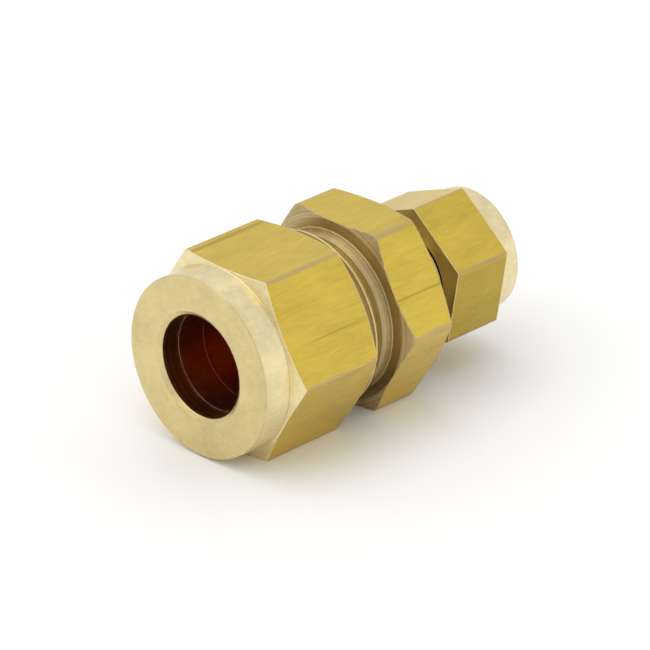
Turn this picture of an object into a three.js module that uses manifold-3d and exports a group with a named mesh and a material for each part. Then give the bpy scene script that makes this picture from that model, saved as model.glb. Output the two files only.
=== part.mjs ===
// Twin-ferrule compression fitting: a straight reducing union for two tube sizes.
// Seven pieces: the body, and for each end a nut, a front ferrule and a back ferrule.
// Millimetres. The bore axis is X, with the large end at -X, and +Z is up. The origin is on
// the axis at mid-length, and the fitting rests on the lowest flats of its two larger hexes.
// The nuts are finger-tight, and the ferrules are not yet swaged onto tubes.

import * as THREE from "three";
import { mergeVertices } from "three/addons/utils/BufferGeometryUtils.js";
import Module from "manifold-3d";

const wasm = await Module();
wasm.setup();

// ---- Driving dimensions ----

const OVERALL_LENGTH = 44;
const SEGMENTS = 32;
const MERGE_DISTANCE = 1e-4;

// The body. Its places along the axis are depths from the large end's outer face.
const BODY = {
  acrossFlats: 22,
  cornerRadius: 12.55,
  faceRadius: 10.95,
  hexStart: 20.95,
  hexEnd: 28.18,
  chamferDepth: 0.72,
  stepBoreRadius: 4.75,
  stepBoreEnd: 23.6,
  throughBoreStart: 24.5,
  throughBoreRadius: 3.2,
};

// Each end's depths run from that end's outer face into the fitting, along the axis. The
// rear outline is the nut's outside behind its hexagon, as depths and radii.
const LARGE_END = {
  name: "large",
  direction: 1,
  ferruleBoreRadius: 6.02,
  socketRadius: 6.04,
  nutBoreRadius: 6.1,
  nutMouthRadius: 6.62,
  nutMouthDepth: 0.37,
  shoulderDepth: 2.5,
  cavityRadius: 7.95,
  cavityEnd: 7.6,
  hubRadius: 10.77,
  hubRootRadius: 10.9,
  hubEnd: 3.7,
  hexStart: 3.95,
  frontChamfer: 0.4,
  cornerRadius: 12.65,
  acrossFlats: 22,
  hexTurn: 0,
  hexEnd: 15.45,
  rearOutline: [[16.6, 10.45], [17.3, 10.45], [17.4, 10.62], [17.6, 10.62]],
  nutEnd: 17.6,
  flangeThickness: 0.6,
  wedgeLength: 1.6,
  noseDepth: 8.0,
  noseMouthRadius: 7.9,
  tubeStopDepth: 22.4,
  threadRootRadius: 8.75,
  threadCrestRadius: 9.4,
  threadEnd: 19.3,
  collarStart: 19.5,
  collarEdgeRadius: 9.45,
  collarRadius: 9.7,
};

const SMALL_END = {
  name: "small",
  direction: -1,
  ferruleBoreRadius: 4.06,
  socketRadius: 4.08,
  nutBoreRadius: 4.15,
  nutMouthRadius: 4.5,
  nutMouthDepth: 0.3,
  shoulderDepth: 1.75,
  cavityRadius: 5.35,
  cavityEnd: 5.3,
  hubRadius: 7.45,
  hubRootRadius: 7.55,
  hubEnd: 3.0,
  hexStart: 3.05,
  frontChamfer: 0.15,
  cornerRadius: 9.2,
  acrossFlats: 16,
  hexTurn: THREE.MathUtils.degToRad(39.5),
  hexEnd: 11.2,
  rearOutline: [[11.3, 9.1]],
  nutEnd: 11.3,
  flangeThickness: 0.45,
  wedgeLength: 1.1,
  noseDepth: 5.7,
  noseMouthRadius: 5.05,
  tubeStopDepth: 17.8,
  threadRootRadius: 5.45,
  threadCrestRadius: 6.05,
  threadEnd: 13.6,
  collarStart: 13.9,
  collarEdgeRadius: 6.05,
  collarRadius: 6.1,
};

// The ferrules, and the room around them.
const SEAT_GAP = 0.25;
const FERRULE_RIM_CLEARANCE = 0.3;
const WEDGE_ROOT_SHARE = 0.62;
const WEDGE_TIP_THICKNESS = 0.3;
const CONE_SLOPE = Math.tan(THREE.MathUtils.degToRad(20));
const EDGE_BREAK = 0.2;
const THREAD_MOUTH_CHAMFER = 0.12;
const NOSE_CHAMFER = 0.3;
const RIDGE_INSET = 0.1;

// Threads: 20 to the inch and right-handed on both ends. A trapezoid ridge stands on each
// threaded wall, and the nut's ridge runs in the middle of the body's groove.
const PITCH = 1.27;
const RIDGE_ROOT_WIDTH = 0.92;
const RIDGE_CREST_WIDTH = 0.2;
const RIDGE_SINK = 0.25;
const THREAD_CLEARANCE = 0.16;
const THREAD_FADE_TURNS = 0.4;

const SATIN_BRASS = { color: 0xd6c384, roughness: 0.38, metalness: 1 };
const DRAWN_BRASS = { color: 0xc4a94e, roughness: 0.32, metalness: 1 };

// ---- Making solids ----

// The X of a place at a depth from one end's outer face.
function place(end, depth) {
  return end.direction * (depth - OVERALL_LENGTH / 2);
}

// The same outline with each [depth, radius] point put at its place on the axis.
function placed(end, outline) {
  return outline.map(([depth, radius]) => [place(end, depth), radius]);
}

function solidFrom(geometry) {
  geometry.deleteAttribute("normal");
  geometry.deleteAttribute("uv");
  const merged = mergeVertices(geometry, MERGE_DISTANCE);
  const vertProperties = new Float32Array(merged.attributes.position.array);
  const triVerts = new Uint32Array(merged.index.array);
  return new wasm.Manifold(new wasm.Mesh({ numProp: 3, vertProperties, triVerts }));
}

function meshFrom(name, solid, finish) {
  const { vertProperties, triVerts } = solid.getMesh();
  const geometry = new THREE.BufferGeometry();
  geometry.setAttribute("position", new THREE.BufferAttribute(vertProperties, 3));
  geometry.setIndex(new THREE.BufferAttribute(triVerts, 1));
  geometry.computeVertexNormals();
  const mesh = new THREE.Mesh(geometry, new THREE.MeshStandardMaterial(finish));
  mesh.name = name;
  return mesh;
}

// Turns a closed outline of [x, radius] points round the X axis.
function turned(outline) {
  const points = outline.map(([x, radius]) => new THREE.Vector2(radius, x));
  if (THREE.ShapeUtils.area(points) < 0) {
    points.reverse();
  }
  points.push(points[0].clone());
  const geometry = new THREE.LatheGeometry(points, SEGMENTS);
  geometry.rotateZ(-Math.PI / 2);
  return solidFrom(geometry);
}

// A hexagonal bar along X, longer than the fitting. With no turn it has a flat on top.
function hexBar(acrossFlats, turn) {
  const corners = [];
  for (let corner = 0; corner < 6; corner += 1) {
    const angle = turn + corner * Math.PI / 3;
    const radius = acrossFlats / 2 / Math.cos(Math.PI / 6);
    corners.push(new THREE.Vector2(radius * Math.cos(angle), radius * Math.sin(angle)));
  }
  const geometry = new THREE.ExtrudeGeometry(new THREE.Shape(corners), {
    depth: 2 * OVERALL_LENGTH,
    bevelEnabled: false,
  });
  geometry.translate(0, 0, -OVERALL_LENGTH);
  const alongX = new THREE.Matrix4().makeBasis(
    new THREE.Vector3(0, 1, 0),
    new THREE.Vector3(0, 0, 1),
    new THREE.Vector3(1, 0, 0),
  );
  geometry.applyMatrix4(alongX);
  return solidFrom(geometry);
}

// One thread ridge: a straight bar bent round the X axis into a right-hand helix. It stands
// on the wall at rootRadius, reaches crestRadius, and fades into the wall at both ends. Its
// steps meet the facets of the turned wall. The phase is in turns.
function threadRidge(fromX, toX, rootRadius, crestRadius, phase) {
  const lowX = Math.min(fromX, toX) + RIDGE_ROOT_WIDTH / 2;
  const highX = Math.max(fromX, toX) - RIDGE_ROOT_WIDTH / 2;
  const firstStep = Math.ceil((lowX / PITCH + phase) * SEGMENTS);
  const lastStep = Math.floor((highX / PITCH + phase) * SEGMENTS);
  const steps = lastStep - firstStep;
  const fadeSteps = THREAD_FADE_TURNS * SEGMENTS;
  const outwards = Math.sign(crestRadius - rootRadius);
  const footRadius = rootRadius - outwards * RIDGE_SINK;
  const fadedRadius = rootRadius - outwards * RIDGE_SINK / 2;
  const bar = new THREE.BoxGeometry(1, 1, 1, 1, 1, steps);
  const position = bar.attributes.position;
  for (let i = 0; i < position.count; i += 1) {
    const step = Math.round((position.getZ(i) + 0.5) * steps);
    const isCrest = position.getY(i) * outwards > 0;
    const grown = Math.min(1, step / fadeSteps, (steps - step) / fadeSteps);
    const crest = fadedRadius + (crestRadius - fadedRadius) * grown;
    const radius = isCrest ? crest : footRadius;
    const width = isCrest ? RIDGE_CREST_WIDTH : RIDGE_ROOT_WIDTH;
    const turn = (firstStep + step) / SEGMENTS;
    const x = (turn - phase) * PITCH + position.getX(i) * width;
    const angle = 2 * Math.PI * turn;
    position.setXYZ(i, x, radius * Math.cos(angle), radius * Math.sin(angle));
  }
  return solidFrom(bar);
}

// ---- The pieces ----

// One end of the body, from its hex face out to its nose: the outside, as an outline.
function bodyEndOutside(end) {
  return placed(end, [
    [end.collarStart, end.collarEdgeRadius],
    [end.collarStart - EDGE_BREAK, end.threadRootRadius],
    [end.noseDepth + NOSE_CHAMFER, end.threadRootRadius],
    [end.noseDepth, end.threadRootRadius - NOSE_CHAMFER],
  ]);
}

// The same end inside, from its nose in: the cone for the front ferrule, and the tube socket.
function bodyEndInside(end) {
  const coneLength = (end.noseMouthRadius - end.socketRadius) / CONE_SLOPE;
  return placed(end, [
    [end.noseDepth, end.noseMouthRadius],
    [end.noseDepth + coneLength, end.socketRadius],
    [end.tubeStopDepth, end.socketRadius],
  ]);
}

function fittingBody() {
  const stopX = place(SMALL_END, SMALL_END.tubeStopDepth);
  const hex = placed(LARGE_END, [
    [BODY.hexEnd, BODY.faceRadius],
    [BODY.hexEnd - BODY.chamferDepth, BODY.cornerRadius],
    [BODY.hexStart + BODY.chamferDepth, BODY.cornerRadius],
    [BODY.hexStart, BODY.faceRadius],
  ]);
  const bore = placed(LARGE_END, [
    [LARGE_END.tubeStopDepth, BODY.stepBoreRadius],
    [BODY.stepBoreEnd, BODY.stepBoreRadius],
    [BODY.throughBoreStart, BODY.throughBoreRadius],
  ]);
  const outline = [
    [place(LARGE_END, BODY.hexStart), LARGE_END.collarRadius],
    ...bodyEndOutside(LARGE_END),
    ...bodyEndInside(LARGE_END),
    ...bore,
    [stopX, BODY.throughBoreRadius],
    ...bodyEndInside(SMALL_END).reverse(),
    ...bodyEndOutside(SMALL_END).reverse(),
    [place(LARGE_END, BODY.hexEnd), SMALL_END.collarRadius],
    ...hex,
  ];
  let solid = turned(outline).intersect(hexBar(BODY.acrossFlats, 0));
  for (const end of [LARGE_END, SMALL_END]) {
    const fromX = place(end, end.noseDepth + RIDGE_INSET);
    const toX = place(end, end.threadEnd);
    const ridge = threadRidge(fromX, toX, end.threadRootRadius, end.threadCrestRadius, 0);
    solid = solid.add(ridge);
  }
  return solid;
}

function nut(end) {
  const rootRadius = end.threadCrestRadius + THREAD_CLEARANCE;
  const crestRadius = end.threadRootRadius + THREAD_CLEARANCE;
  const shoulderEnd = end.shoulderDepth + end.cavityRadius - end.nutBoreRadius;
  const outline = placed(end, [
    [0, end.nutMouthRadius],
    [0, end.hubRadius - EDGE_BREAK],
    [EDGE_BREAK, end.hubRadius],
    [end.hubEnd, end.hubRootRadius],
    [end.hexStart, end.acrossFlats / 2],
    [end.hexStart + end.frontChamfer, end.cornerRadius],
    [end.hexEnd, end.cornerRadius],
    ...end.rearOutline,
    [end.nutEnd, rootRadius + THREAD_MOUTH_CHAMFER],
    [end.nutEnd - THREAD_MOUTH_CHAMFER, rootRadius],
    [end.cavityEnd, rootRadius],
    [end.cavityEnd, end.cavityRadius],
    [shoulderEnd, end.cavityRadius],
    [end.shoulderDepth, end.nutBoreRadius],
    [end.nutMouthDepth, end.nutBoreRadius],
  ]);
  const fromX = place(end, end.cavityEnd + RIDGE_INSET);
  const toX = place(end, end.nutEnd - RIDGE_INSET);
  const ridge = threadRidge(fromX, toX, rootRadius, crestRadius, 0.5);
  return turned(outline).intersect(hexBar(end.acrossFlats, end.hexTurn)).add(ridge);
}

// The depths and radii that the two ferrules of one end share.
function ferruleSeat(end) {
  const boreRadius = end.ferruleBoreRadius;
  const rimRadius = end.cavityRadius - FERRULE_RIM_CLEARANCE;
  const backFace = end.shoulderDepth + SEAT_GAP;
  const rimStart = backFace + rimRadius - boreRadius;
  const rimEnd = rimStart + end.flangeThickness;
  const wedgeRootRadius = boreRadius + WEDGE_ROOT_SHARE * (rimRadius - boreRadius);
  const wedgeTipRadius = boreRadius + WEDGE_TIP_THICKNESS;
  const wedgeEnd = rimEnd + end.wedgeLength;
  return {
    boreRadius, rimRadius, backFace, rimStart, rimEnd,
    wedgeRootRadius, wedgeTipRadius, wedgeEnd,
  };
}

// Back ferrule: a flange with a 45-degree back, and a wedge that goes under the front one.
function backFerrule(end) {
  const seat = ferruleSeat(end);
  return turned(placed(end, [
    [seat.backFace, seat.boreRadius],
    [seat.rimStart, seat.rimRadius],
    [seat.rimEnd, seat.rimRadius],
    [seat.rimEnd, seat.wedgeRootRadius],
    [seat.wedgeEnd, seat.wedgeTipRadius],
    [seat.wedgeEnd, seat.boreRadius],
  ]));
}

// Front ferrule: hollowed behind for the wedge, and tapered in front to the body's cone.
function frontFerrule(end) {
  const seat = ferruleSeat(end);
  const backFace = seat.rimEnd + SEAT_GAP;
  const taperRadiusAtNose = end.noseMouthRadius - SEAT_GAP;
  const taperStart = end.noseDepth - (seat.rimRadius - taperRadiusAtNose) / CONE_SLOPE;
  const tipRadius = seat.boreRadius + WEDGE_TIP_THICKNESS;
  const tipDepth = end.noseDepth + (taperRadiusAtNose - tipRadius) / CONE_SLOPE;
  return turned(placed(end, [
    [backFace, seat.wedgeRootRadius + SEAT_GAP],
    [backFace, seat.rimRadius],
    [taperStart, seat.rimRadius],
    [tipDepth, tipRadius],
    [tipDepth, seat.boreRadius],
    [seat.wedgeEnd + SEAT_GAP, seat.boreRadius],
    [seat.wedgeEnd + SEAT_GAP, seat.wedgeTipRadius + SEAT_GAP / 2],
  ]));
}

// ---- The assembly ----

const group = new THREE.Group();
group.add(meshFrom("fitting_body", fittingBody(), DRAWN_BRASS));
for (const end of [LARGE_END, SMALL_END]) {
  group.add(meshFrom(`${end.name}_nut`, nut(end), DRAWN_BRASS));
  group.add(meshFrom(`${end.name}_front_ferrule`, frontFerrule(end), SATIN_BRASS));
  group.add(meshFrom(`${end.name}_back_ferrule`, backFerrule(end), SATIN_BRASS));
}

export default group;
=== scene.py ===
"""Looks for a twin-ferrule compression fitting: turned and drawn brass on a pale floor.

Every piece is a ring turned round the X axis. Its outline is a closed run of corners, each
a place along the axis and a radius. Where the piece is a hexagon, each slice of the ring is
cut off at the hexagon's own radius there, so that flats, chamfers and corners meet as they
do on bar that has been turned.
"""

import math
from collections import namedtuple

import bpy
import numpy as np
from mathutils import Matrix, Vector


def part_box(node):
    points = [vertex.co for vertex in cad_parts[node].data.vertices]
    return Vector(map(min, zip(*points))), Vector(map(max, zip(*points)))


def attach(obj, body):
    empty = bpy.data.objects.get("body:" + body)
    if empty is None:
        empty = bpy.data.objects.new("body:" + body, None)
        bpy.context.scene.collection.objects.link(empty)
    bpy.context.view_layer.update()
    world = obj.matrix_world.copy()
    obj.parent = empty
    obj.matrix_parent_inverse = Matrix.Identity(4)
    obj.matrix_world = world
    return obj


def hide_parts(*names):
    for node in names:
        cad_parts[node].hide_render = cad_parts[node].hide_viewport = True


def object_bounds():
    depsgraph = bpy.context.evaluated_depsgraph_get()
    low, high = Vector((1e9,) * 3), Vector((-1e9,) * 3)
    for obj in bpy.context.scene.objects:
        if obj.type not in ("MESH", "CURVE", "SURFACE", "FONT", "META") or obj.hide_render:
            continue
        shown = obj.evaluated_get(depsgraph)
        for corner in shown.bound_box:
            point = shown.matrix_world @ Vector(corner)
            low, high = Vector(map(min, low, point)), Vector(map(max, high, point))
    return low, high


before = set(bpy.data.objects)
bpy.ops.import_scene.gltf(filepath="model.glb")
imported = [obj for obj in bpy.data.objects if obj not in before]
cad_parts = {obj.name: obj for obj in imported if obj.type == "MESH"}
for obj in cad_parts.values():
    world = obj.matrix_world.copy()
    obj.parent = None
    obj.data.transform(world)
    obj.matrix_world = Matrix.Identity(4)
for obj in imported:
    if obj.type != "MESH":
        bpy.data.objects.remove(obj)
cad_low, cad_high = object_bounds()
MM = 0.001

# ---- Sizes, in millimetres, angles in radians ----

BODY = dict(
    across_flats=22.0, turn=0.0, corner_round=0.95, face_radius=10.97,
    hex_start=20.95, hex_end=28.18, chamfer_depth=0.72,
    step_bore=4.75, step_bore_end=23.6, through_bore_start=24.5, through_bore=3.2,
)

# Depths run from each end's outer face into the fitting, along the axis.
LARGE_END = dict(
    name="large", direction=1, across_flats=22.0, turn=0.0, corner_round=0.35,
    ferrule_bore=6.02, socket=6.04, nut_bore=6.1, nut_mouth=6.62, nut_mouth_depth=0.37,
    shoulder=2.66, cavity=7.95, cavity_end=7.6, hub=10.77, hub_root=10.9, hub_end=3.72,
    hex_start=4.3, hex_end=15.45, nut_end=17.6,
    neck=[(16.6, 10.45), (17.3, 10.45)], rim=[(17.4, 10.62), (17.6, 10.62)],
    flange=0.6, wedge=1.6, nose=8.0, nose_mouth=7.9, tube_stop=22.4,
    thread_root=8.75, thread_crest=9.4, thread_end=19.3, collar_start=19.5,
    collar_edge=9.45, collar=9.7,
)
SMALL_END = dict(
    name="small", direction=-1, across_flats=16.0, turn=math.radians(39.5),
    corner_round=0.3, ferrule_bore=4.06, socket=4.08, nut_bore=4.15, nut_mouth=4.5,
    nut_mouth_depth=0.3, shoulder=1.91, cavity=5.35, cavity_end=5.3, hub=7.45,
    hub_root=7.55, hub_end=3.0, hex_start=3.1, hex_end=11.3, nut_end=11.3,
    neck=[], rim=[],
    flange=0.45, wedge=1.1, nose=5.7, nose_mouth=5.05, tube_stop=17.8,
    thread_root=5.45, thread_crest=6.05, thread_end=13.6, collar_start=13.9,
    collar_edge=6.05, collar=6.1,
)

# Ferrules and threads.
SEAT_GAP = 0.09
HAIRLINE = 0.02
CONE_SLOPE = math.tan(math.radians(20))
WEDGE_ROOT_SHARE = 0.62
WEDGE_TIP = 0.3
PITCH = 1.27
RIDGE_ROOT_WIDTH = 0.92
RIDGE_CREST_WIDTH = 0.2
RIDGE_FADE = 0.8
THREAD_CLEARANCE = 0.16
NOSE_CHAMFER = 0.3
THREAD_MOUTH = 0.12
ROOT_GROOVE = 0.09
FERRULE_RIM_CLEARANCE = 0.3
ROWS_PER_PITCH = 14

# How finely the rings are cut, and how soft their corners are.
ROUND_SLICES = 160
FLAT_SLICES = 24
CORNER_SLICES = 6
ROUNDING_STEPS = 4
SUPPORT = 0.06
FINE_EDGE = 0.05
LIP_EDGE = 0.08
SOFT_EDGE = 0.12
STUB_EDGE = 0.15
ROUNDING_LIMIT = 0.4
SUPPORT_LIMIT = 0.3

# Where the small nut's painted shade lies: its lower front flat, under its upper front corner, in
# front of the axis. It is a painted reflection of a darker floor.
PAINTED_SHADE_LOW = 2.7
PAINTED_SHADE_HIGH = 3.4
PAINTED_SHADE_FRONT = -6.5
PAINTED_SHADE_BACK = -2.0

# The camera: millimetres and degrees, from the row's origin.
CAMERA_AZIMUTH = -45.26
CAMERA_ELEVATION = 26.07
CAMERA_DISTANCE = 566.8
CAMERA_AIM = (-1.69, 0.37, -1.92)
CAMERA_LENS = 276.9

# The studio: metres, and the floor's shade.
FLOOR_HALF = 1.5
FLOOR_WHITE = (0.95, 0.95, 0.95, 1.0)
FLOOR_ROUGHNESS = 0.6
TENT_STRENGTH = 0.86

# A ring's corner. The edge kind and the thread belong to the edge that starts there.
Corner = namedtuple("Corner", "x radius rounding edge thread", defaults=[None])
Thread = namedtuple("Thread", "height phase")


def place(end, depth):
    """The X, in millimetres, of a depth from one end's outer face, found from the frame."""
    low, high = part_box(end["name"] + "_nut")
    face = low.x if end["direction"] > 0 else high.x
    return face / MM + end["direction"] * depth


def corners(end, points):
    """Corners from (depth, radius, rounding, edge) points, some with a thread as well."""
    return [Corner(place(end, depth), *rest) for depth, *rest in points]


# ---- Rings ----


def round_section():
    """The angles of a round piece's slices. There is no radius to cut them off at."""
    return np.linspace(0, 2 * math.pi, ROUND_SLICES, endpoint=False), None


def hex_section(sizes):
    """The angles of a hexagonal piece's slices, and the bar's radius at each."""
    apothem = sizes["across_flats"] / 2
    corner_round = sizes["corner_round"]
    centre = (apothem - corner_round) / math.cos(math.pi / 6)
    tangent = math.atan2(
        corner_round * math.sin(math.pi / 6),
        centre + corner_round * math.cos(math.pi / 6),
    )
    margin = SUPPORT / apothem
    round_part = np.linspace(-tangent, tangent, CORNER_SLICES + 1)
    flat_part = np.linspace(tangent + margin, math.pi / 3 - tangent - margin, FLAT_SLICES)
    round_radii = centre * np.cos(round_part) + np.sqrt(
        corner_round**2 - (centre * np.sin(round_part)) ** 2
    )
    flat_radii = apothem / np.cos(flat_part - math.pi / 6)
    starts = sizes["turn"] + np.arange(6) * math.pi / 3
    angles = (starts[:, None] + np.concatenate([round_part, flat_part])[None, :]).ravel()
    radii = np.tile(np.concatenate([round_radii, flat_radii]), 6)
    return angles, radii


def cut_outlines(outline, slice_count, bar_radii):
    """The outline at each slice, with its hexagon edge moved to the bar's radius."""
    base = np.array([(c.x, c.radius) for c in outline])
    slices = np.repeat(base[None], slice_count, axis=0)
    for i, corner in enumerate(outline):
        if corner.edge != "flat":
            continue
        for cut, inner in ((i, i - 1), (i + 1, i + 2)):
            share = (bar_radii - base[inner][1]) / (base[cut][1] - base[inner][1])
            slices[:, cut] = base[inner] + share[:, None] * (base[cut] - base[inner])
    return slices


def ridge_height(x, angles, phase):
    """How high a right-hand thread's ridge stands, from 0 to 1, at places and angles."""
    turns = x / PITCH - angles / (2 * math.pi) + phase
    from_middle = np.abs(turns - np.round(turns)) * PITCH
    flank = (RIDGE_ROOT_WIDTH - RIDGE_CREST_WIDTH) / 2
    return np.clip((RIDGE_ROOT_WIDTH / 2 - from_middle) / flank, 0, 1)


def thread_rows(start, end, angles, thread):
    """The rows of a threaded stretch of wall, from one row to another."""
    length = abs(end[0, 0] - start[0, 0])
    count = int(length / PITCH * ROWS_PER_PITCH)
    rows = []
    for share in np.linspace(0, 1, count + 2)[1:-1]:
        row = start + share * (end - start)
        fade = min(1.0, min(share, 1 - share) * length / RIDGE_FADE)
        row[:, 1] += thread.height * fade * ridge_height(row[:, 0], angles, thread.phase)
        rows.append(row)
    return rows


def corner_rows(before, middle, after, rounding):
    """The rows that round one corner, with a row close by on each side to hold its shape."""
    to_before = before - middle
    to_after = after - middle
    room_before = np.linalg.norm(to_before, axis=1)
    room_after = np.linalg.norm(to_after, axis=1)
    reach = np.minimum(rounding, ROUNDING_LIMIT * np.minimum(room_before, room_after))
    start = middle + to_before * (reach / room_before)[:, None]
    end = middle + to_after * (reach / room_after)[:, None]
    hold_before = np.minimum(SUPPORT, SUPPORT_LIMIT * (room_before - reach)) / room_before
    hold_after = np.minimum(SUPPORT, SUPPORT_LIMIT * (room_after - reach)) / room_after
    rows = [start + to_before * hold_before[:, None]]
    for t in np.linspace(0, 1, ROUNDING_STEPS + 1):
        rows.append((1 - t) ** 2 * start + 2 * t * (1 - t) * middle + t**2 * end)
    rows.append(end + to_after * hold_after[:, None])
    return rows


def corner_finish(before, after):
    """The finish of a rounded corner, from those of the edges before and after it."""
    if before == after or after == "flat":
        return before
    if before == "flat":
        return after
    return "lip" if "lip" in (before, after) else "turned"


def ring_rows(outline, angles, bar_radii):
    """A ring's rows of (x, radius) for every slice, and the kind of edge after each row."""
    slices = cut_outlines(outline, len(angles), bar_radii)
    count = len(outline)
    parts = [
        corner_rows(slices[:, i - 1], slices[:, i], slices[:, (i + 1) % count], c.rounding)
        for i, c in enumerate(outline)
    ]
    rows, kinds = [], []
    for i, corner in enumerate(outline):
        rows += parts[i]
        rounded = corner_finish(outline[i - 1].edge, corner.edge)
        kinds += [rounded] * (len(parts[i]) - 1) + [corner.edge]
        if corner.thread is not None:
            wall = thread_rows(parts[i][-1], parts[(i + 1) % count][0], angles, corner.thread)
            rows += wall
            kinds += [corner.edge] * len(wall)
    return np.stack(rows, axis=1), kinds


def ring(name, outline, section, finishes):
    """A closed ring as a mesh object, with a finish for each kind of edge."""
    angles, bar_radii = section
    rows, kinds = ring_rows(outline, angles, bar_radii)
    slice_count, row_count = rows.shape[:2]
    along, radius = rows[..., 0], rows[..., 1]
    points = np.stack(
        [along, radius * np.cos(angles)[:, None], radius * np.sin(angles)[:, None]], axis=-1
    )
    here = np.arange(slice_count * row_count).reshape(slice_count, row_count)
    next_slice = np.roll(here, -1, axis=0)
    faces = np.stack(
        [here, np.roll(here, -1, axis=1), np.roll(next_slice, -1, axis=1), next_slice], axis=-1
    )
    outline_area = np.sum(
        along[0] * np.roll(radius[0], -1) - np.roll(along[0], -1) * radius[0]
    )
    if outline_area < 0:
        faces = faces[..., ::-1]
    mesh = bpy.data.meshes.new(name)
    mesh.from_pydata((points * MM).reshape(-1, 3).tolist(), [], faces.reshape(-1, 4).tolist())
    used = sorted(set(kinds))
    for kind in used:
        mesh.materials.append(finishes[kind])
    indices = np.tile([used.index(kind) for kind in kinds], slice_count)
    mesh.polygons.foreach_set("material_index", indices.astype(np.int32))
    mesh.polygons.foreach_set("use_smooth", np.ones(len(indices), bool))
    if bar_radii is not None:
        reach = (bar_radii - bar_radii.min()) / np.ptp(bar_radii)
        cornerness = mesh.attributes.new("cornerness", "FLOAT", "POINT")
        cornerness.data.foreach_set("value", np.repeat(reach, row_count).astype(np.float32))
    mesh.update()
    piece = bpy.data.objects.new(name, mesh)
    bpy.context.scene.collection.objects.link(piece)
    return piece


# ---- The pieces ----


def backwards(run, last_edge):
    """The same run of corners travelled the other way. last_edge follows its last corner."""
    edges = [(c.edge, c.thread) for c in run[:-1]][::-1] + [(last_edge, None)]
    return [
        Corner(c.x, c.radius, c.rounding, edge, thread)
        for c, (edge, thread) in zip(run[::-1], edges)
    ]


def body_stub(end):
    """One end of the body from its collar out to its nose, and back in to the tube stop."""
    cone_length = (end["nose_mouth"] - end["socket"]) / CONE_SLOPE
    root = end["thread_root"]
    thread = Thread(end["thread_crest"] - root, 0.0)
    return corners(end, [
        (end["collar_start"], end["collar_edge"], SOFT_EDGE, "grooved"),
        (end["collar_start"] - STUB_EDGE, root, SOFT_EDGE, "turned"),
        (end["thread_end"], root, FINE_EDGE, "turned", thread),
        (end["nose"] + NOSE_CHAMFER, root, FINE_EDGE, "turned"),
        (end["nose"], root - NOSE_CHAMFER, FINE_EDGE, "turned"),
        (end["nose"], end["nose_mouth"], FINE_EDGE, "bore"),
        (end["nose"] + cone_length, end["socket"], SOFT_EDGE, "bore"),
        (end["tube_stop"], end["socket"], FINE_EDGE, "bore"),
    ])


def fitting_body(finishes):
    """The body: a hexagon with a threaded stub for each nut, and the bore through it."""
    corner_radius = BODY["across_flats"] / 2 / math.cos(math.pi / 6)
    face, chamfer = BODY["face_radius"], BODY["chamfer_depth"]
    step_bore = corners(LARGE_END, [
        (LARGE_END["tube_stop"], BODY["step_bore"], FINE_EDGE, "bore"),
        (BODY["step_bore_end"], BODY["step_bore"], FINE_EDGE, "bore"),
        (BODY["through_bore_start"], BODY["through_bore"], FINE_EDGE, "bore"),
    ])
    through_bore = corners(SMALL_END, [
        (SMALL_END["tube_stop"], BODY["through_bore"], FINE_EDGE, "bore"),
    ])
    hexagon = corners(LARGE_END, [
        (BODY["hex_end"], SMALL_END["collar"], SOFT_EDGE, "grooved"),
        (BODY["hex_end"], face, SOFT_EDGE, "grooved"),
        (BODY["hex_end"] - chamfer, corner_radius, FINE_EDGE, "flat"),
        (BODY["hex_start"] + chamfer, corner_radius, FINE_EDGE, "grooved"),
        (BODY["hex_start"], face, SOFT_EDGE, "grooved"),
        (BODY["hex_start"], LARGE_END["collar"], SOFT_EDGE, "grooved"),
    ])
    outline = [
        *body_stub(LARGE_END),
        *step_bore,
        *through_bore,
        *backwards(body_stub(SMALL_END), "grooved"),
        *hexagon,
    ]
    return ring("fitting_body_brass", outline, hex_section(BODY), finishes)


def nut(end, finishes):
    """A nut: a hub and a hexagon outside, and a bore, a seat and a thread inside."""
    corner_radius = end["across_flats"] / 2 / math.cos(math.pi / 6)
    wall = end["thread_crest"] + THREAD_CLEARANCE
    seat_end = end["shoulder"] + end["cavity"] - end["nut_bore"]
    thread = Thread(end["thread_root"] - end["thread_crest"], 0.5)
    outline = corners(end, [
        (0, end["nut_mouth"], FINE_EDGE, "turned"),
        (0, end["hub"], FINE_EDGE, "hub"),
        (end["hub_end"] - 2 * ROOT_GROOVE, end["hub_root"], HAIRLINE, "neck"),
        (end["hub_end"] - ROOT_GROOVE, end["hub_root"] - ROOT_GROOVE, HAIRLINE, "hub"),
        (end["hub_end"], end["hub_root"], HAIRLINE, "hub"),
        (end["hex_start"], corner_radius, FINE_EDGE, "flat"),
        (end["hex_end"], corner_radius, FINE_EDGE, "turned"),
        *[(depth, radius, FINE_EDGE, "neck") for depth, radius in end["neck"]],
        *[(depth, radius, FINE_EDGE, "turned") for depth, radius in end["rim"]],
        (end["nut_end"], wall + THREAD_MOUTH, FINE_EDGE, "turned"),
        (end["nut_end"] - THREAD_MOUTH, wall, FINE_EDGE, "turned", thread),
        (end["cavity_end"], wall, FINE_EDGE, "turned"),
        (end["cavity_end"], end["cavity"], FINE_EDGE, "turned"),
        (seat_end, end["cavity"], FINE_EDGE, "lip"),
        (end["shoulder"], end["nut_bore"], FINE_EDGE, "land"),
        (end["nut_mouth_depth"], end["nut_bore"], LIP_EDGE, "turned"),
    ])
    return ring(end["name"] + "_nut_brass", outline, hex_section(end), finishes)


def ferrule_seat(end):
    """The depths and radii that the two ferrules of one end share."""
    bore = end["ferrule_bore"]
    rim = end["cavity"] - FERRULE_RIM_CLEARANCE
    back = end["shoulder"] + SEAT_GAP
    rim_end = back + rim - bore + end["flange"]
    wedge_root = bore + WEDGE_ROOT_SHARE * (rim - bore)
    return bore, rim, back, rim_end, wedge_root


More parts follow.
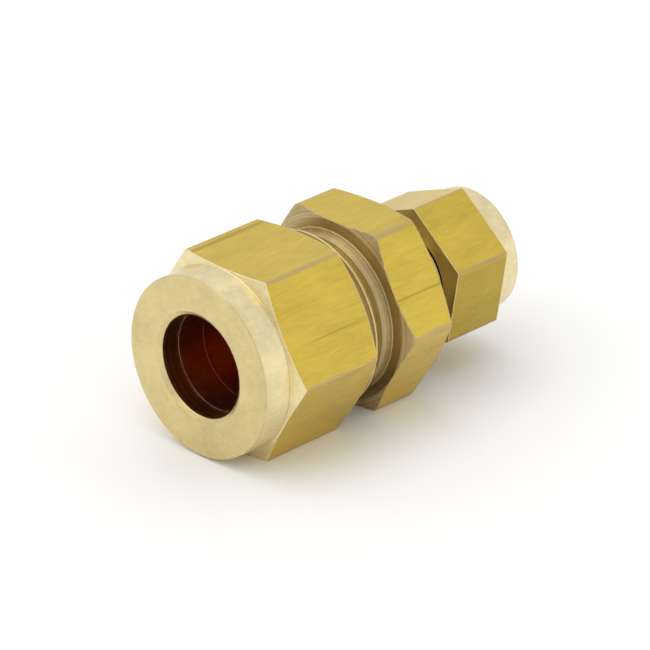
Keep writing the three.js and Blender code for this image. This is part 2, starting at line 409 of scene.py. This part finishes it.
def back_ferrule(end, finishes):
    """A flange with a 45-degree back, and a wedge that goes under the front ferrule."""
    bore, rim, back, rim_end, wedge_root = ferrule_seat(end)
    wedge_end = rim_end + end["wedge"]
    outline = corners(end, [
        (back, bore, FINE_EDGE, "lip"),
        (rim_end - end["flange"], rim, FINE_EDGE, "bore"),
        (rim_end, rim, FINE_EDGE, "bore"),
        (rim_end, wedge_root, FINE_EDGE, "bore"),
        (wedge_end, bore + WEDGE_TIP, HAIRLINE, "bore"),
        (wedge_end, bore, HAIRLINE, "bore"),
    ])
    return ring(end["name"] + "_back_ferrule_brass", outline, round_section(), finishes)


def front_ferrule(end, finishes):
    """A sleeve hollowed behind for the wedge, and tapered in front to the body's cone."""
    bore, rim, _, rim_end, wedge_root = ferrule_seat(end)
    wedge_end = rim_end + end["wedge"]
    at_nose = end["nose_mouth"] - SEAT_GAP
    tip = bore + WEDGE_TIP
    outline = corners(end, [
        (rim_end + SEAT_GAP, wedge_root + SEAT_GAP, FINE_EDGE, "bore"),
        (rim_end + SEAT_GAP, rim, FINE_EDGE, "bore"),
        (end["nose"] - (rim - at_nose) / CONE_SLOPE, rim, FINE_EDGE, "bore"),
        (end["nose"] + (at_nose - tip) / CONE_SLOPE, tip, FINE_EDGE, "bore"),
        (end["nose"] + (at_nose - tip) / CONE_SLOPE, bore, HAIRLINE, "bore"),
        (wedge_end + HAIRLINE, bore, HAIRLINE, "bore"),
        (wedge_end + HAIRLINE, tip + SEAT_GAP, HAIRLINE, "bore"),
    ])
    return ring(end["name"] + "_front_ferrule_brass", outline, round_section(), finishes)


# ---- Materials ----


class Nodes:
    """A short way to add and join the nodes of one material or world."""

    def __init__(self, tree):
        self.tree = tree

    def add(self, kind, settings=None, **inputs):
        """Adds a node. Inputs are values or other nodes' outputs, by name with _ for space."""
        node = self.tree.nodes.new(kind)
        for name, value in (settings or {}).items():
            setattr(node, name, value)
        for name, value in inputs.items():
            self.put(node, name.replace("_", " "), value)
        return node

    def put(self, node, key, value):
        socket = node.inputs[key]
        if isinstance(value, bpy.types.NodeSocket):
            self.tree.links.new(value, socket)
        else:
            socket.default_value = value

    def math(self, operation, first, second=0.0):
        node = self.add("ShaderNodeMath", {"operation": operation})
        self.put(node, 0, first)
        self.put(node, 1, second)
        return node.outputs[0]

    def noise(self, vector, scale, detail=2.0, roughness=0.5, distortion=0.0):
        node = self.add("ShaderNodeTexNoise", Vector=vector, Scale=scale, Detail=detail,
                        Roughness=roughness, Distortion=distortion)
        return node.outputs["Fac"]

    def remap(self, value, low, high, to_low, to_high):
        node = self.add("ShaderNodeMapRange", Value=value)
        for key, limit in zip(("From Min", "From Max", "To Min", "To Max"),
                              (low, high, to_low, to_high)):
            self.put(node, key, limit)
        return node.outputs["Result"]

    def blend(self, share, first, second):
        node = self.add("ShaderNodeMix", {"data_type": "RGBA"})
        self.put(node, 0, share)
        self.put(node, 6, first)
        self.put(node, 7, second)
        return node.outputs[2]


def new_brass(name):
    """A metal material with its default nodes: the helper, the shader and the place."""
    material = bpy.data.materials.new(name)
    material.use_nodes = True
    nodes = Nodes(material.node_tree)
    shader = material.node_tree.nodes["Principled BSDF"]
    shader.inputs["Metallic"].default_value = 1.0
    position = nodes.add("ShaderNodeTexCoord").outputs["Object"]
    return material, nodes, shader, position


def shaded(colour, share):
    """The colour, made darker or lighter by a share, and no channel over 1."""
    return [min(1.0, channel * share) for channel in colour[:3]] + [1.0]


def stretched(nodes, position, scale):
    """The place, multiplied by a scale on each axis."""
    node = nodes.add("ShaderNodeVectorMath", {"operation": "MULTIPLY"})
    nodes.put(node, 0, position)
    nodes.put(node, 1, scale)
    return node.outputs[0]


def drawn_brass(name, colour, worn_colour, painted_shade=0.0):
    """Hexagon bar as drawn: fine streaks along the bar, and duller, worn corners.

    The painted shade is how much darker the front lower flat is, the one under the upper corner:
    a painted reflection of a darker floor.
    """
    material, nodes, shader, position = new_brass(name)
    broad = nodes.noise(stretched(nodes, position, (0.4, 1.0, 1.0)), 320.0, 4.0, 0.6)
    streak = nodes.noise(stretched(nodes, position, (0.12, 1.0, 1.0)), 3200.0, 3.0, 0.6, 0.5)
    fine = nodes.noise(stretched(nodes, position, (0.14, 1.0, 1.0)), 9000.0, 2.0)
    dark = shaded(colour, 0.84)
    light = shaded(colour, 1.07)
    tint = nodes.math("ADD", nodes.math("MULTIPLY", broad, 0.5),
                      nodes.math("MULTIPLY", streak, 0.5))
    base = nodes.blend(nodes.remap(tint, 0.35, 0.65, 0.0, 1.0), dark, light)
    score = nodes.noise(stretched(nodes, position, (0.02, 1.0, 1.0)), 1500.0, 1.0)
    scored = shaded(colour, 0.6)
    base = nodes.blend(nodes.remap(score, 0.66, 0.74, 0.0, 0.7), base, scored)
    corner = nodes.add("ShaderNodeAttribute", {"attribute_name": "cornerness"}).outputs["Fac"]
    ragged = nodes.math("ADD", corner, nodes.remap(tint, 0.35, 0.65, -0.06, 0.06))
    worn = nodes.remap(ragged, 0.91, 0.99, 0.0, 1.0)
    base = nodes.blend(worn, base, worn_colour)
    # Painted shade: the lower front flat, below a height and in front of the axis, is darkened
    # towards near-black brass as a painted reflection of a darker floor.
    if painted_shade:
        parts = nodes.add("ShaderNodeSeparateXYZ", Vector=position)
        below = nodes.remap(parts.outputs["Z"], PAINTED_SHADE_LOW * MM, PAINTED_SHADE_HIGH * MM, painted_shade, 0.0)
        in_front = nodes.remap(parts.outputs["Y"], PAINTED_SHADE_FRONT * MM, PAINTED_SHADE_BACK * MM, 1.0, 0.0)
        painted_shade_mask = nodes.math("MULTIPLY", below, in_front)
        base = nodes.blend(painted_shade_mask, base, shaded(colour, 0.15))
    nodes.put(shader, "Base Color", base)
    rough = nodes.remap(streak, 0.3, 0.7, 0.26, 0.38)
    nodes.put(shader, "Roughness", nodes.math("ADD", rough, nodes.math("MULTIPLY", worn, 0.2)))
    height = nodes.math("ADD", nodes.math("MULTIPLY", streak, 0.7),
                        nodes.math("MULTIPLY", fine, 0.3))
    bump = nodes.add("ShaderNodeBump", Strength=0.45, Distance=0.012 * MM, Height=height)
    nodes.put(shader, "Normal", bump.outputs["Normal"])
    return material


def turned_brass(name, colour, roughness, scuffing, relief, groove):
    """Turned brass: rings round the axis on every face, with faint blotches and scuffs.

    The relief is the strength of the rings' bumps, and the groove how dark they are.
    """
    material, nodes, shader, position = new_brass(name)
    parts = nodes.add("ShaderNodeSeparateXYZ", Vector=position)
    square = nodes.math("MULTIPLY", parts.outputs["Y"], parts.outputs["Y"])
    both = nodes.math("ADD", square,
                      nodes.math("MULTIPLY", parts.outputs["Z"], parts.outputs["Z"]))
    radius = nodes.math("SQRT", both)
    rings = nodes.add("ShaderNodeCombineXYZ", X=parts.outputs["X"], Y=radius).outputs[0]
    coarse = nodes.noise(rings, 1900.0, 3.0, 0.6)
    fine = nodes.noise(rings, 8000.0, 2.0)
    blotch = nodes.noise(position, 220.0, 5.0, 0.75)
    scuff = nodes.noise(stretched(nodes, position, (1.0, 1.0, 2.5)), 900.0, 5.0, 0.7)
    dark = shaded(colour, 0.84)
    light = shaded(colour, 1.06)
    tint = nodes.math("ADD", nodes.math("MULTIPLY", blotch, 0.6),
                      nodes.math("MULTIPLY", scuff, 0.4))
    base = nodes.blend(nodes.remap(tint, 0.36, 0.6, 0.0, 1.0), dark, light)
    in_groove = nodes.remap(nodes.noise(rings, 3600.0, 3.0, 0.7), 0.38, 0.62, groove, 0.0)
    deep = shaded(colour, 0.3)
    nodes.put(shader, "Base Color", nodes.blend(in_groove, base, deep))
    rough = nodes.remap(scuff, 0.35, 0.7, roughness, roughness + scuffing)
    nodes.put(shader, "Roughness", rough)
    height = nodes.math("ADD", nodes.math("MULTIPLY", coarse, 0.5),
                        nodes.math("MULTIPLY", fine, 0.5))
    bump = nodes.add("ShaderNodeBump", Strength=relief, Distance=0.02 * MM, Height=height)
    nodes.put(shader, "Normal", bump.outputs["Normal"])
    return material


# ---- The studio ----


def pale_floor(height):
    """A wide pale floor, level with the fitting's lowest flats."""
    mesh = bpy.data.meshes.new("floor")
    spots = [(x * FLOOR_HALF, y * FLOOR_HALF) for x, y in ((-1, -1), (1, -1), (1, 1), (-1, 1))]
    mesh.from_pydata([(x, y, height) for x, y in spots], [], [(0, 1, 2, 3)])
    floor = bpy.data.objects.new("floor", mesh)
    bpy.context.scene.collection.objects.link(floor)
    material = bpy.data.materials.new("pale_floor")
    material.use_nodes = True
    shader = material.node_tree.nodes["Principled BSDF"]
    shader.inputs["Base Color"].default_value = FLOOR_WHITE
    shader.inputs["Roughness"].default_value = FLOOR_ROUGHNESS
    mesh.materials.append(material)


def soft_light(name, position, target, size, power):
    """A square soft light that looks at a target."""
    lamp = bpy.data.lights.new(name, "AREA")
    lamp.size = size
    lamp.energy = power
    light = bpy.data.objects.new(name, lamp)
    light.location = position
    light.rotation_euler = (Vector(target) - Vector(position)).to_track_quat("-Z", "Y").to_euler()
    bpy.context.scene.collection.objects.link(light)


def pale_world(strength):
    """An even white surrounding, the white tent that the metal mirrors."""
    world = bpy.data.worlds.new("tent")
    bpy.context.scene.world = world
    world.use_nodes = True
    background = world.node_tree.nodes["Background"]
    background.inputs["Color"].default_value = (1.0, 1.0, 1.0, 1.0)
    background.inputs["Strength"].default_value = strength


def camera():
    """A long lens at the picture's angle: turned from the bore axis, and looking down."""
    azimuth, elevation = math.radians(CAMERA_AZIMUTH), math.radians(CAMERA_ELEVATION)
    back = Vector((
        math.sin(azimuth) * math.cos(elevation),
        -math.cos(azimuth) * math.cos(elevation),
        math.sin(elevation),
    ))
    data = bpy.data.cameras.new("camera")
    data.sensor_width = 36.0
    data.lens = CAMERA_LENS
    data.clip_start, data.clip_end = 0.01, 10.0
    view = bpy.data.objects.new("camera", data)
    view.location = Vector(CAMERA_AIM) * MM + back * CAMERA_DISTANCE * MM
    view.rotation_euler = (-back).to_track_quat("-Z", "Y").to_euler()
    bpy.context.scene.collection.objects.link(view)
    bpy.context.scene.camera = view


# ---- Building it ----

# How far the small nut's lower front flat is darkened: painted shade, a painted reflection of a
# darker floor.
SMALL_NUT_PAINTED_SHADE = 0.4

SATIN = (0.71, 0.585, 0.285, 1.0)
GOLD = (0.72, 0.52, 0.085, 1.0)
WORN = (0.58, 0.43, 0.18, 1.0)
# A paler copy of the turned brass for the nut hubs: painted highlight.
HUB_PAINTED_HIGHLIGHT = (0.86, 0.74, 0.43, 1.0)
TAN = (0.62, 0.48, 0.235, 1.0)
LAND = (0.72, 0.40, 0.13, 1.0)
LIP = (0.95, 0.62, 0.50, 1.0)
# Dark brown for the nut's neck and hub root groove: painted shade in these recesses.
NECK_PAINTED_SHADE = (0.36, 0.23, 0.08, 1.0)
# Redder brass for the bores, cones and ferrules: partly their own brass, partly a painted
# reflection of the red light bounced deep inside the bore.
BORE_PAINTED_REFLECTION = (0.68, 0.29, 0.14, 1.0)

finishes = {
    "turned": turned_brass("turned_brass", SATIN, 0.28, 0.14, 0.3, 0.06),
    # The hubs: turned brass made paler, a painted highlight.
    "hub": turned_brass("hub_painted_highlight_brass", HUB_PAINTED_HIGHLIGHT, 0.28, 0.14, 0.3, 0.05),
    "grooved": turned_brass("grooved_brass", TAN, 0.32, 0.12, 0.5, 0.5),
    "land": turned_brass("land_brass", LAND, 0.3, 0.02, 0.5, 0.9),
    # The bore finish: the bore's brass made redder, partly a painted reflection of light bounced
    # inside it.
    "bore": turned_brass("bore_painted_reflection_brass", BORE_PAINTED_REFLECTION, 0.3, 0.02, 0.04, 0.0),
    # The neck finish: painted shade, a dark brown where the recess behind the hexagon and the
    # hub's root groove lie in shade.
    "neck": turned_brass("neck_painted_shade_brass", NECK_PAINTED_SHADE, 0.35, 0.1, 0.4, 0.3),
    "lip": turned_brass("lip_brass", LIP, 0.25, 0.02, 0.04, 0.0),
    "flat": drawn_brass("drawn_brass", GOLD, WORN),
}
# The small nut's bar brass carries painted shade on its lower front flat.
painted_shade_finishes = dict(
    finishes, flat=drawn_brass("painted_shade_bar_brass", GOLD, WORN, SMALL_NUT_PAINTED_SHADE)
)


def install(piece, node, body):
    """Puts a finished piece on its body, in place of the plain node."""
    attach(piece, body)
    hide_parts(node)


install(fitting_body(finishes), "fitting_body", "body")
for end in (LARGE_END, SMALL_END):
    name = end["name"]
    ferrules = name + "_ferrules"
    nut_finishes = painted_shade_finishes if end is SMALL_END else finishes
    install(nut(end, nut_finishes), name + "_nut", name + "_nut")
    install(front_ferrule(end, finishes), name + "_front_ferrule", ferrules)
    install(back_ferrule(end, finishes), name + "_back_ferrule", ferrules)

pale_floor(cad_low.z)
pale_world(TENT_STRENGTH)
soft_light("overhead", (-0.3, 0.25, 1.0), (0, 0, 0), 1.4, 4.8)
soft_light("low_panel", (0.8, -0.96, 0.1), (0, 0, 0.02), 0.5, 0.3)
camera()
bpy.context.scene.view_settings.view_transform = "Standard"
